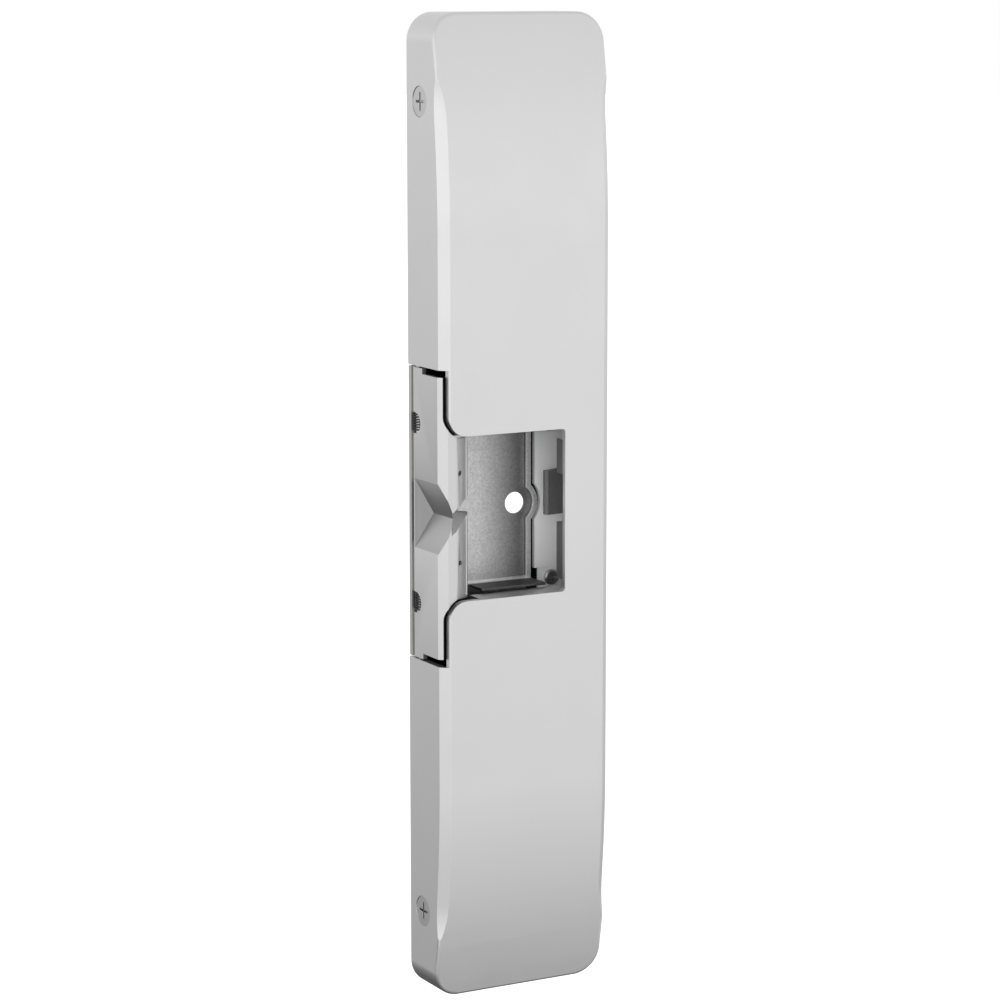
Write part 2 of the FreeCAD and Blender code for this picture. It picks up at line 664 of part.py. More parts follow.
def make_keeper():
    block = keeper_block()
    keeper = join([keeper_body(), block, mirrored(block)])
    bore = hinge_cylinder(PIN_R + PIN_CLEARANCE, -KNUCKLE_Z - EPS, KNUCKLE_Z + EPS)
    tools = [bore, groove_cutter(), inner_notch_cutter()]
    for sign in (1, -1):
        z = sign * SIDE_HOLE_Z
        pocket = (z - SPRING_POCKET_HALF, z + SPRING_POCKET_HALF)
        socket = sorted((sign * SOCKET_END, sign * (KNUCKLE_Z + EPS)))
        tools.append(rod(SIDE_HOLE_R, -EPS, SIDE_HOLE_Y, z, (1, 0, 0), HINGE_IN + EPS))
        tools.append(hinge_cylinder(SPRING_POCKET_R, pocket[0], pocket[1]))
        tools.append(box((HINGE_IN, BLOCK_IN + EPS), (SPRING_POCKET_FRONT_Y, EPS), pocket))
        tools.append(rod(LIP_HOLE_R, LIP_HOLE_IN, -DEPTH, sign * LIP_HOLE_Z, (0, 1, 0), LIP_HOLE_DEPTH))
        tools.append(upright(SOCKET_R, AXIS_IN, AXIS_Y, socket[0], socket[1]))
    return drill(keeper, tools)


def make_hinge_pin():
    pin = hinge_cylinder(PIN_R, -PIN_HALF, PIN_HALF)
    return pin.makeChamfer(PIN_CHAMFER, [e for e in pin.Edges if e.BoundBox.ZLength < NEAR])


def make_keeper_springs():
    """Torsion springs on the hinge pin, one behind each side hole."""
    length = 2 * SPRING_POCKET_HALF - 4 * FINE_WIRE_R
    start = SIDE_HOLE_Z - length / 2
    radius = PIN_R + FINE_WIRE_R + FINE_SPRING_GAP
    return both(spring(radius, FINE_WIRE_R, KEEPER_SPRING_TURNS, length, HINGE_IN, HINGE_Y, start))


def make_bearing_block():
    """Block that holds the pin's upper end and guides the upper plunger."""
    block = box(BEARING_IN, (BEARING_FRONT, -PLATE_T), (BEARING_START, BEARING_END))
    bore = upright(PLUNGER_R + BORE_CLEARANCE, AXIS_IN, AXIS_Y, BEARING_START - EPS, BEARING_END + EPS)
    saddle = hinge_cylinder(PIN_R + PIN_CLEARANCE / 2, BEARING_START - EPS, PIN_HALF + BORE_CLEARANCE)
    block = fillet_where(block, BEARING_EDGE_R, lambda b: b.ZLength > EPS and b.YMax < BEARING_FRONT + NEAR)
    return drill(block, [bore, saddle] + back_screw_bores())


def back_screw_bores():
    """Cutters for the shanks of the screws driven from the back, above the middle."""
    return [rod(BACK_SHANK_R + HOLE_FIT, x_in, EPS, z, (0, -1, 0), length + 2 * EPS)
            for x_in, z, length in back_screw_places()]


# ---------------------------------------------------------------- plungers and solenoids

def axis_rod(radius, z0, z1):
    """Cylinder on the plunger's axis."""
    return upright(radius, AXIS_IN, AXIS_Y, z0, z1)


def make_plunger():
    """Locking plunger: nose, body and a groove for the clip that its spring pushes on."""
    tip_at = V(at(AXIS_IN), AXIS_Y, PLUNGER_TIP)
    tip = Part.makeCone(PLUNGER_R - PLUNGER_NOSE, PLUNGER_R, PLUNGER_NOSE, tip_at)
    body = axis_rod(PLUNGER_R, PLUNGER_TIP + PLUNGER_NOSE, PLUNGER_END)
    groove = axis_rod(PLUNGER_R + EPS, PLUNGER_END - 2 * CLIP_T, PLUNGER_END - CLIP_T)
    groove = groove.cut(axis_rod(PLUNGER_R - CLIP_GROOVE, PLUNGER_END - 3 * CLIP_T, PLUNGER_END))
    return tip.fuse(body).removeSplitter().cut(groove)


def make_plunger_clip():
    """Split retaining ring in the plunger's groove."""
    around = (PLUNGER_END - 3 * CLIP_T, PLUNGER_END)
    ring = axis_rod(CLIP_R, PLUNGER_END - 2 * CLIP_T + CLIP_FIT, PLUNGER_END - CLIP_T - CLIP_FIT)
    bore = axis_rod(PLUNGER_R - CLIP_GROOVE + HOLE_FIT, around[0], around[1])
    slot = box((AXIS_IN, AXIS_IN + CLIP_R + EPS), (AXIS_Y - CLIP_SLOT / 2, AXIS_Y + CLIP_SLOT / 2), around)
    return drill(ring, [bore, slot])


def make_plunger_spring():
    start = BEARING_END + WIRE_R + SPRING_END_GAP
    length = PLUNGER_END - 2 * CLIP_T - WIRE_R - SPRING_END_GAP - start
    radius = PLUNGER_R + WIRE_R + SPRING_GAP
    return spring(radius, WIRE_R, PLUNGER_SPRING_TURNS, length, AXIS_IN, AXIS_Y, start)


def make_solenoid_frame():
    """Steel strap bent into a box round the coil."""
    x_in = (AXIS_IN - FRAME_W / 2, AXIS_IN + FRAME_W / 2)
    frame = box(x_in, (FRAME_FRONT, -PLATE_T), (FRAME_START, FRAME_END))
    frame = fillet_where(frame, FRAME_BEND_R, lambda b: b.XLength > FRAME_W / 2)
    inside_z = (FRAME_START + FRAME_T, FRAME_END - FRAME_T)
    inside = box((0, WIDTH), (FRAME_FRONT + FRAME_T, -PLATE_T - FRAME_T), inside_z)
    rod_hole = axis_rod(PUSH_ROD_R + FRAME_ROD_GAP, FRAME_START - EPS, FRAME_START + 2 * EPS)
    core_hole = axis_rod(ARMATURE_R + FRAME_CORE_GAP, FRAME_END - 2 * EPS, FRAME_END + EPS)
    return drill(frame, [inside, rod_hole, core_hole] + back_screw_bores())


def make_pole_piece():
    pole = axis_rod(ARMATURE_R, FRAME_START + FRAME_T, POLE_END)
    return pole.cut(axis_rod(PUSH_ROD_R + PUSH_ROD_GAP, FRAME_START, POLE_END + EPS))


def make_bobbin():
    start = FRAME_START + FRAME_T
    end = FRAME_END - FRAME_T
    spool = [axis_rod(BOBBIN_TUBE_R, start, end), axis_rod(FLANGE_R, start, start + FLANGE_T),
             axis_rod(FLANGE_R, end - FLANGE_T, end)]
    return join(spool).cut(axis_rod(BOBBIN_BORE_R, start - EPS, end + EPS))


def make_coil():
    """Winding with its tape wrap."""
    start = FRAME_START + FRAME_T + FLANGE_T
    end = FRAME_END - FRAME_T - FLANGE_T
    return axis_rod(COIL_R, start, end).cut(axis_rod(BOBBIN_TUBE_R, start - EPS, end + EPS))


def make_armature():
    """Soft-iron core with the push rod that drives the plunger."""
    core = axis_rod(ARMATURE_R, ARMATURE_START, ARMATURE_END)
    end_cap = axis_rod(END_CAP_R, ARMATURE_END - END_CAP_T, ARMATURE_END)
    push_rod = axis_rod(PUSH_ROD_R, PLUNGER_END, ARMATURE_START)
    return join([core, end_cap, push_rod])


# ---------------------------------------------------------------- latch monitor

def make_monitor_bracket():
    """Plate beside the tray with two ears for the rocker and a pad under the switch."""
    plate = box(BRACKET_IN, (BRACKET_FRONT, -PLATE_T), BRACKET_Z)
    widening = box((SWITCH_SIDE_IN, BRACKET_IN[0]), (BRACKET_FRONT, -PLATE_T), (SWITCH_SIDE_Z, BRACKET_Z[1]))
    pad = box(SWITCH_IN, (SWITCH_Y[1], BRACKET_FRONT), SWITCH_Z)
    foot = box(FOOT_IN, (-PLATE_T - FOOT_T, -PLATE_T), (FOOT_Z, BRACKET_Z[0]))
    pieces = [plate, widening, pad, foot]
    ear_in = (SHAFT_IN - EAR_R, SHAFT_IN + EAR_REACH)
    for z in EAR_Z:
        stem = box(ear_in, (SHAFT_Y, BRACKET_FRONT), (z, z + EAR_T))
        eye = upright(EAR_R, SHAFT_IN, SHAFT_Y, z, z + EAR_T)
        pieces += [stem, eye.common(box(ear_in, (-DEPTH, 0), (z, z + EAR_T)))]
    scallop = rod(BRACKET_SCALLOP_R, HOLE_IN, -DEPTH, 0, (0, 1, 0), DEPTH)
    tools = [scallop, upright(SHAFT_R + SHAFT_FIT, SHAFT_IN, SHAFT_Y, -DEPTH, 2 * DEPTH)]
    for x_in, z in BRACKET_SCREWS + switch_screw_places():
        tools.append(rod(BRACKET_SCREW_R + HOLE_FIT, x_in, -DEPTH, z, (0, 1, 0), DEPTH + EPS))
    return drill(join(pieces), tools)


def switch_screw_places():
    return [(SWITCH_SCREW_IN, SWITCH_Z[0] + SWITCH_SCREW_FROM_END),
            (SWITCH_SCREW_IN, SWITCH_Z[1] - SWITCH_SCREW_FROM_END)]


def make_bracket_screws():
    screw = pan_screw(BRACKET_HEAD[0], BRACKET_SCREW_R, BRACKET_HEAD[1], BRACKET_T + BRACKET_SCREW_BELOW)
    screws = []
    for x_in, z in BRACKET_SCREWS:
        head_y = -PLATE_T - FOOT_T if z < BRACKET_Z[0] else BRACKET_FRONT
        screws.append(facing(screw, (0, -1, 0), x_in, head_y, z))
    return Part.makeCompound(screws)


def make_monitor_rocker():
    """Moulded paddle, shaft and tail in one piece. It turns about the shaft."""
    shaft = upright(SHAFT_R, SHAFT_IN, SHAFT_Y, EAR_Z[0] - SHAFT_OVERRUN, SWITCH_Z[1])
    paddle = plan_prism(PADDLE_PLAN, PADDLE_Z[0], PADDLE_Z[1])
    tail = box(TAIL_IN, TAIL_Y, (BUTTON_Z - TAIL_HALF, BUTTON_Z + TAIL_HALF))
    return join([shaft, paddle, tail])


def make_rocker_spring():
    radius = SHAFT_R + FINE_WIRE_R + FINE_SPRING_GAP
    return spring(radius, FINE_WIRE_R, ROCKER_SPRING_TURNS, ROCKER_SPRING_LENGTH, SHAFT_IN, SHAFT_Y,
                  ROCKER_SPRING_Z)


def make_monitor_switch():
    """Snap-action switch body with a well for its button."""
    body = box(SWITCH_IN, SWITCH_Y, SWITCH_Z)
    body = fillet_where(body, SWITCH_EDGE_R, lambda b: b.YLength > EPS)
    well = rod(BUTTON_R + BUTTON_FIT, BUTTON_WELL_IN, BUTTON_Y, BUTTON_Z, (1, 0, 0), WIDTH)
    bores = [rod(BRACKET_SCREW_R + HOLE_FIT, x_in, -DEPTH, z, (0, 1, 0), DEPTH)
             for x_in, z in switch_screw_places()]
    return drill(body, [well] + bores)


def make_switch_button():
    end = TAIL_IN[0] - BUTTON_GAP
    button = rod(BUTTON_R, end - BUTTON_LENGTH, BUTTON_Y, BUTTON_Z, (1, 0, 0), BUTTON_LENGTH)
    return fillet_where(button, BUTTON_ROUNDING, lambda b: b.XMin > at(end) - NEAR)


def make_switch_terminals():
    """Three solder blades on the side away from the button."""
    blades = []
    body_in = SWITCH_IN[0]
    for i in (-1, 0, 1):
        z = (SWITCH_Z[0] + SWITCH_Z[1]) / 2 + i * TERMINAL_PITCH
        thickness = (z - TERMINAL_HALF_T, z + TERMINAL_HALF_T)
        blade = box((body_in - TERMINAL_LENGTH, body_in), TERMINAL_Y, thickness)
        eye = upright(TERMINAL_EYE_R, body_in - TERMINAL_EYE_FROM_BODY, sum(TERMINAL_Y) / 2, z - EPS, z + EPS)
        blades.append(blade.cut(eye))
    return Part.makeCompound(blades)


def make_switch_screws():
    length = -PLATE_T - SWITCH_Y[0]
    screw = pan_screw(SWITCH_HEAD[0], BRACKET_SCREW_R, SWITCH_HEAD[1], length)
    return Part.makeCompound([facing(screw, (0, -1, 0), x_in, SWITCH_Y[0], z)
                              for x_in, z in switch_screw_places()])


# ---------------------------------------------------------------- circuit board

def board_corners():
    inset = BOARD_SCREW_INSET
    across = (BOARD_IN[0] + inset, BOARD_IN[1] - inset)
    return [(x_in, z) for x_in in across for z in (BOARD_Z[0] + inset, BOARD_Z[1] - inset)]


def make_circuit_board():
    board = box(BOARD_IN, (BOARD_FRONT, BOARD_Y), BOARD_Z)
    holes = [rod(BOARD_SCREW_R + HOLE_FIT, x_in, -DEPTH, z, (0, 1, 0), DEPTH) for x_in, z in board_corners()]
    return drill(board, holes)


def make_board_spacers():
    spacers = []
    for x_in, z in board_corners():
        tube = rod(SPACER_R, x_in, BOARD_Y, z, (0, 1, 0), -PLATE_T - BOARD_Y)
        spacers.append(tube.cut(rod(BOARD_SCREW_R, x_in, -DEPTH, z, (0, 1, 0), DEPTH)))
    return Part.makeCompound(spacers)


def make_board_screws():
    screw = pan_screw(BOARD_HEAD[0], BOARD_SCREW_R, BOARD_HEAD[1], BOARD_T + BOARD_SCREW_BELOW)
    screws = [facing(screw, (0, -1, 0), x_in, BOARD_FRONT, z) for x_in, z in board_corners()]
    return Part.makeCompound(screws)


def make_wire_header():
    """Plug-in header for the lead, next to the cable hole, with its pins."""
    shroud = box(HEADER_IN, (BOARD_FRONT - HEADER_H, BOARD_FRONT), HEADER_Z)
    inside_in = (HEADER_IN[0] + HEADER_WALL, HEADER_IN[1] - HEADER_WALL)
    inside_z = (HEADER_Z[0] + HEADER_WALL, HEADER_Z[1] - HEADER_WALL)
    depth = (BOARD_FRONT - HEADER_H - EPS, BOARD_FRONT - HEADER_FLOOR)
    well = box(inside_in, depth, inside_z)
    middle = (HEADER_IN[0] + HEADER_IN[1]) / 2
    key_in = (middle - HEADER_KEY_HALF, middle + HEADER_KEY_HALF)
    key = box(key_in, depth, (HEADER_Z[0] - EPS, inside_z[0] + EPS))
    return drill(shroud, [well, key])


def make_header_pins():
    pins = []
    z = (HEADER_Z[0] + HEADER_Z[1]) / 2
    depth = (BOARD_FRONT - HEADER_H + EPS, BOARD_FRONT - HEADER_FLOOR)
    for i in range(HEADER_PINS):
        x_in = (HEADER_IN[0] + HEADER_IN[1]) / 2 + (i - (HEADER_PINS - 1) / 2) * HEADER_PITCH
        pins.append(box((x_in - HEADER_PIN_HALF, x_in + HEADER_PIN_HALF), depth,
                        (z - HEADER_PIN_HALF, z + HEADER_PIN_HALF)))
    return Part.makeCompound(pins)


def make_rectifier():
    body = box(RECTIFIER_IN, (BOARD_FRONT - RECTIFIER_H, BOARD_FRONT), RECTIFIER_Z)
    front_edges = [e for e in body.Edges if e.BoundBox.YMax < BOARD_FRONT - NEAR]
    return body.makeChamfer(RECTIFIER_EDGE, front_edges)


def make_capacitor():
    can = rod(CAPACITOR_R, CAPACITOR_IN, BOARD_FRONT, CAPACITOR_Z, (0, -1, 0), CAPACITOR_H)
    return fillet_where(can, CAPACITOR_ROUNDING, lambda b: b.YMax < BOARD_FRONT - CAPACITOR_H + NEAR)


def make_mode_selector():
    """Jumper block that sets whether power locks or frees the keeper."""
    base_front = BOARD_FRONT - SELECTOR_H
    base = box(SELECTOR_IN, (base_front, BOARD_FRONT), SELECTOR_Z)
    return join([base, box(JUMPER_IN, (base_front - JUMPER_H, base_front), JUMPER_Z)])


# ---------------------------------------------------------------- all pieces

pieces = {
    "cover": make_cover(),
    "cover_screws": make_cover_screws(),
    "back_plate": make_back_plate(),
    "latch_tray": make_latch_tray(),
    "keeper": make_keeper(),
    "hinge_pin": make_hinge_pin(),
    "keeper_springs": make_keeper_springs(),
    "block_screws": back_screws(BEARING_SCREW_LENGTH),
    "solenoid_screws": back_screws(FRAME_SCREW_LENGTH),
    "monitor_bracket": make_monitor_bracket(),
    "bracket_screws": make_bracket_screws(),
    "monitor_rocker": make_monitor_rocker(),
    "rocker_spring": make_rocker_spring(),
    "monitor_switch": make_monitor_switch(),
    "switch_button": make_switch_button(),
    "switch_terminals": make_switch_terminals(),
    "switch_screws": make_switch_screws(),
    "circuit_board": make_circuit_board(),
    "board_spacers": make_board_spacers(),
    "board_screws": make_board_screws(),
    "wire_header": make_wire_header(),
    "header_pins": make_header_pins(),
    "rectifier": make_rectifier(),
    "capacitor": make_capacitor(),
    "mode_selector": make_mode_selector(),
}

# The lock is made twice: above the keeper, and mirrored below it.
lock_pieces = {
    "bearing_block": make_bearing_block(),
    "plunger": make_plunger(),
    "plunger_clip": make_plunger_clip(),
    "plunger_spring": make_plunger_spring(),
    "solenoid_frame": make_solenoid_frame(),
    "pole_piece": make_pole_piece(),
    "bobbin": make_bobbin(),
    "coil": make_coil(),
    "armature": make_armature(),
}
for name, shape in lock_pieces.items():
    pieces["upper_" + name] = shape
    pieces["lower_" + name] = mirrored(shape)

for name, shape in pieces.items():
    shape.exportStep("parts/" + name + ".step")
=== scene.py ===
import json
import math

import bpy
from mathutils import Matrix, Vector


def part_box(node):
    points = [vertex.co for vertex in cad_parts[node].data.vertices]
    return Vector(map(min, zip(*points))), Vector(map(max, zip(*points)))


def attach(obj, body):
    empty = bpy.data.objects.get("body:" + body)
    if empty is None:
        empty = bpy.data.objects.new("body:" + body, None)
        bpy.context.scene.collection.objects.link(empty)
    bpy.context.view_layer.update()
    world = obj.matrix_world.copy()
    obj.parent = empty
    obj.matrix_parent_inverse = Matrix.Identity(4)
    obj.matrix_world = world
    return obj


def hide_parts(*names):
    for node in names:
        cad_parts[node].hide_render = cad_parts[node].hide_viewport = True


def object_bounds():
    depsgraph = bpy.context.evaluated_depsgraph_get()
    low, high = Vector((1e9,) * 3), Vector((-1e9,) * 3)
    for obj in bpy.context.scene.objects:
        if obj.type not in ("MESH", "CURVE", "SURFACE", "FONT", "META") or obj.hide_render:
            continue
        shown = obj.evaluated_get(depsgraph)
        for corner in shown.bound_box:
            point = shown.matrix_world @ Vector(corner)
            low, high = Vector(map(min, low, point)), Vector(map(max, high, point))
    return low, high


# Looks for a surface-mounted electric door strike. Everything is in metres.
# X runs across the strike from the keeper side, -Y is the front, Z is up.

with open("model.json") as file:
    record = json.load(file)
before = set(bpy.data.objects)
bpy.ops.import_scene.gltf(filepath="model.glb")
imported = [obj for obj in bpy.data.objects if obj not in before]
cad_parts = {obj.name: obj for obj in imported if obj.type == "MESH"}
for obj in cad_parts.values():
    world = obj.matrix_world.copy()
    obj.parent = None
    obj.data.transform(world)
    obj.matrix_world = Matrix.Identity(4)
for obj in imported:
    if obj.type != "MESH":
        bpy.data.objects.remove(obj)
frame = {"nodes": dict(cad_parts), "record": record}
cad_low, cad_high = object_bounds()

MM = 0.001
SIDES = ("upper_", "lower_")
nodes = frame["nodes"]
body_of_node = {}
for body_name, members in frame["record"]["behaviour"]["bodies"].items():
    for member in members:
        body_of_node[member] = body_name
slot_of_node = {part["node"]: part["material_slot"] for part in frame["record"]["subparts"]}


# ---------------------------------------------------------------- shader helpers

def new_group(name, inputs, outputs):
    """Shader node group with named sockets. Each input is (name, default)."""
    group = bpy.data.node_groups.new(name, "ShaderNodeTree")
    for label, default in inputs:
        kind = "NodeSocketVector" if isinstance(default, tuple) else "NodeSocketFloat"
        socket = group.interface.new_socket(name=label, in_out="INPUT", socket_type=kind)
        socket.default_value = default
    for label in outputs:
        group.interface.new_socket(name=label, in_out="OUTPUT", socket_type="NodeSocketFloat")
    entry = group.nodes.new("NodeGroupInput")
    leave = group.nodes.new("NodeGroupOutput")
    return group, entry, leave


def add(tree, kind, **settings):
    """New node in a tree, with its settings."""
    node = tree.nodes.new(kind)
    for key, value in settings.items():
        setattr(node, key, value)
    return node


def link(tree, source, target):
    tree.links.new(source, target)


def math_node(tree, operation, first, second=None, clamp=False):
    """Math node fed by sockets or numbers. Gives its output socket."""
    node = add(tree, "ShaderNodeMath", operation=operation, use_clamp=clamp)
    for index, value in enumerate((first, second)):
        if value is None:
            continue
        if isinstance(value, bpy.types.NodeSocket):
            link(tree, value, node.inputs[index])
        else:
            node.inputs[index].default_value = value
    return node.outputs[0]


def mixed(tree, first, first_share, second, second_share, clamp=False):
    """Sum of two values, each times its share."""
    return math_node(tree, "ADD", math_node(tree, "MULTIPLY", first, first_share),
                     math_node(tree, "MULTIPLY", second, second_share), clamp)


def spread(tree, value, low, high, out_low=0.0, out_high=1.0):
    """Map Range from low..high to out_low..out_high, clamped."""
    node = add(tree, "ShaderNodeMapRange")
    link(tree, value, node.inputs["Value"])
    for label, number in (("From Min", low), ("From Max", high), ("To Min", out_low), ("To Max", out_high)):
        if isinstance(number, bpy.types.NodeSocket):
            link(tree, number, node.inputs[label])
        else:
            node.inputs[label].default_value = number
    return node.outputs["Result"]


def group_noise(tree, vector, scale, detail=2.0, roughness=0.5):
    """Noise on a vector socket. Scale is in lumps per metre."""
    noise = add(tree, "ShaderNodeTexNoise")
    link(tree, vector, noise.inputs["Vector"])
    noise.inputs["Detail"].default_value = detail
    noise.inputs["Roughness"].default_value = roughness
    if isinstance(scale, bpy.types.NodeSocket):
        link(tree, scale, noise.inputs["Scale"])
    else:
        noise.inputs["Scale"].default_value = scale
    return noise.outputs["Fac"]


def make_grain_group():
    """Satin grain: fine lines drawn out along one axis by the stretch vector."""
    group, entry, leave = new_group(
        "satin_grain", [("Vector", (0.0, 0.0, 0.0)), ("Stretch", (1.0, 1.0, 1.0)), ("Scale", 1500.0)],
        ["Lines", "Patches"])
    drawn = add(group, "ShaderNodeVectorMath", operation="MULTIPLY")
    link(group, entry.outputs["Vector"], drawn.inputs[0])
    link(group, entry.outputs["Stretch"], drawn.inputs[1])
    fine = group_noise(group, drawn.outputs[0], entry.outputs["Scale"], 3.0, 0.6)
    coarse_scale = math_node(group, "MULTIPLY", entry.outputs["Scale"], 0.23)
    coarse = group_noise(group, drawn.outputs[0], coarse_scale, 2.0, 0.5)
    link(group, mixed(group, fine, 0.65, coarse, 0.35), leave.inputs["Lines"])
    patches = group_noise(group, entry.outputs["Vector"], 45.0, 3.0, 0.5)
    link(group, spread(group, patches, 0.3, 0.7), leave.inputs["Patches"])
    return group


def make_blast_group():
    """Bead-blasted skin: round pits of two sizes with a few deeper ones."""
    group, entry, leave = new_group(
        "blasted_skin", [("Vector", (0.0, 0.0, 0.0)), ("Scale", 2600.0)], ["Height", "Specks"])
    pits = add(group, "ShaderNodeTexVoronoi", feature="SMOOTH_F1")
    link(group, entry.outputs["Vector"], pits.inputs["Vector"])
    link(group, entry.outputs["Scale"], pits.inputs["Scale"])
    lump_scale = math_node(group, "MULTIPLY", entry.outputs["Scale"], 0.6)
    lumps = group_noise(group, entry.outputs["Vector"], lump_scale, 4.0, 0.65)
    link(group, mixed(group, pits.outputs["Distance"], 0.7, lumps, 0.6), leave.inputs["Height"])
    link(group, spread(group, lumps, 0.38, 0.64), leave.inputs["Specks"])
    return group


def make_wear_group():
    """Handling wear: soft smudges."""
    group, entry, leave = new_group("handling_wear", [("Vector", (0.0, 0.0, 0.0)), ("Size", 1.0)], ["Smudge"])
    cloud_scale = math_node(group, "MULTIPLY", entry.outputs["Size"], 90.0)
    cloud = group_noise(group, entry.outputs["Vector"], cloud_scale, 5.0, 0.6)
    link(group, spread(group, cloud, 0.42, 0.72), leave.inputs["Smudge"])
    return group


def make_edge_group():
    """Mask of worn edges, from how far a rounded normal turns away from the true one."""
    group, entry, leave = new_group("edge_mask", [("Radius", 0.0003)], ["Edge"])
    rounded = add(group, "ShaderNodeBevel", samples=6)
    link(group, entry.outputs["Radius"], rounded.inputs["Radius"])
    true_normal = add(group, "ShaderNodeNewGeometry")
    dot = add(group, "ShaderNodeVectorMath", operation="DOT_PRODUCT")
    link(group, rounded.outputs["Normal"], dot.inputs[0])
    link(group, true_normal.outputs["Normal"], dot.inputs[1])
    link(group, spread(group, dot.outputs["Value"], 0.99, 0.80), leave.inputs["Edge"])
    return group


GRAIN = make_grain_group()
BLAST = make_blast_group()
WEAR = make_wear_group()
EDGE = make_edge_group()


class Finish:
    """A material under construction: its tree, its shader and the object coordinates."""

    def __init__(self, name, metallic, roughness, colour):
        self.material = bpy.data.materials.new(name)
        self.material.use_nodes = True
        self.tree = self.material.node_tree
        self.shader = self.tree.nodes["Principled BSDF"]
        self.shader.inputs["Metallic"].default_value = metallic
        self.shader.inputs["Roughness"].default_value = roughness
        self.shader.inputs["Base Color"].default_value = (*colour, 1.0)
        self.place = add(self.tree, "ShaderNodeTexCoord").outputs["Object"]

    def use(self, group, **values):
        """Place a shared group in this material. Vector is fed with the object coordinates."""
        node = add(self.tree, "ShaderNodeGroup", node_tree=group)
        if "Vector" in node.inputs:
            link(self.tree, self.place, node.inputs["Vector"])
        for label, value in values.items():
            node.inputs[label.replace("_", " ")].default_value = value
        return node.outputs

    def colour_between(self, mask, first, second):
        """Base colour that goes from first to second by a mask."""
        mix = add(self.tree, "ShaderNodeMix", data_type="RGBA")
        link(self.tree, mask, mix.inputs["Factor"])
        mix.inputs["A"].default_value = (*first, 1.0)
        mix.inputs["B"].default_value = (*second, 1.0)
        link(self.tree, mix.outputs["Result"], self.shader.inputs["Base Color"])

    def tone_between(self, mask, tone, contrast, warm):
        """Grey base colour that varies by contrast on either side of a tone."""
        dark = grey(tone * (1 - contrast), warm)
        light = grey(min(BRIGHTEST_METAL, tone * (1 + contrast)), warm)
        self.colour_between(mask, dark, light)

    def roughness_between(self, mask, first, second):
        link(self.tree, spread(self.tree, mask, 0.0, 1.0, first, second), self.shader.inputs["Roughness"])

    def bump(self, height, depth):
        """Bump from a height socket. Depth is in metres."""
        node = add(self.tree, "ShaderNodeBump")
        node.inputs["Strength"].default_value = 1.0
        node.inputs["Distance"].default_value = depth
        link(self.tree, height, node.inputs["Height"])
        link(self.tree, node.outputs["Normal"], self.shader.inputs["Normal"])


BRIGHTEST_METAL = 0.97
BRIGHTEST_PLASTIC = 0.95
RUBBED_LIFT = 0.012           # rubbed plastic is at least this much paler


def grey(value, warm=0.0):
    """Grey that leans towards red and away from blue by a share."""
    return (value * (1 + warm), value, value * (1 - warm))


def brushed(name, tone, roughness, stretch, scale, depth, worn=0.25, contrast=0.10, warm=0.0):
    """Metal with a drawn grain, slow patches, smudges and brighter worn edges."""
    made = Finish(name, 1.0, roughness, grey(tone, warm))
    grain = made.use(GRAIN, Stretch=stretch, Scale=scale)
    wear = made.use(WEAR)
    edge = made.use(EDGE)
    tree = made.tree
    drawn = mixed(tree, grain["Lines"], 0.6, grain["Patches"], 0.4)
    shade = math_node(tree, "ADD", drawn, math_node(tree, "MULTIPLY", edge["Edge"], worn), clamp=True)
    made.tone_between(shade, tone, contrast, warm)
    dull = mixed(tree, grain["Lines"], 0.5, wear["Smudge"], 0.5)
    made.roughness_between(dull, roughness * 0.9, roughness * 1.12)
    made.bump(grain["Lines"], depth)
    return made


def blasted(name, tone, roughness, scale, depth, contrast=0.16, warm=0.0):
    """Bead-blasted or cast metal."""
    made = Finish(name, 1.0, roughness, grey(tone, warm))
    skin = made.use(BLAST, Scale=scale)
    edge = made.use(EDGE)
    rubbed = math_node(made.tree, "MULTIPLY", edge["Edge"], 0.5)
    shade = math_node(made.tree, "ADD", skin["Specks"], rubbed, clamp=True)
    made.tone_between(shade, tone, contrast, warm)
    made.roughness_between(skin["Specks"], roughness * 1.08, roughness * 0.92)
    made.bump(skin["Height"], depth)
    return made


def moulded(name, colour, roughness, scale, depth, lift=0.35):
    """Moulded plastic with a fine spark texture and paler rubbed edges."""
    made = Finish(name, 0.0, roughness, colour)
    skin = made.use(BLAST, Scale=scale)
    wear = made.use(WEAR)
    edge = made.use(EDGE)
    light = tuple(min(BRIGHTEST_PLASTIC, part * (1 + lift) + RUBBED_LIFT) for part in colour)
    rubbed = mixed(made.tree, skin["Specks"], 0.35, edge["Edge"], 0.6, clamp=True)
    made.colour_between(rubbed, colour, light)
    made.roughness_between(wear["Smudge"], roughness, roughness * 0.8)
    made.bump(skin["Height"], depth)
    return made


def scale_colour(made, mask, share):
    """Multiply the base colour by a share where the mask is 1."""
    tree = made.tree
    source = made.shader.inputs["Base Color"].links[0].from_socket
    scaled = add(tree, "ShaderNodeVectorMath", operation="SCALE")
    link(tree, source, scaled.inputs[0])
    link(tree, spread(tree, mask, 0.0, 1.0, 1.0, share), scaled.inputs["Scale"])
    link(tree, scaled.outputs[0], made.shader.inputs["Base Color"])


def all_masks(tree, *masks):
    """Mask that is 1 only where each of the masks is 1."""
    product = masks[0]
    for mask in masks[1:]:
        product = math_node(tree, "MULTIPLY", product, mask)
    return product


def soft_step(tree, place, ends, origin=0.0):
    """Mask that goes from 0 at the first end to 1 at the second. Ends are in mm from the origin."""
    start, stop = ends
    return spread(tree, place, origin + start * MM, origin + stop * MM)


# ---------------------------------------------------------------- finishes

# How the grain is drawn out along each axis.
ALONG_Z = (1.0, 1.0, 0.025)
ALONG_X = (0.025, 1.0, 1.0)
ROUND_Z = (1.0, 1.0, 14.0)
EVEN = (1.0, 1.0, 1.0)

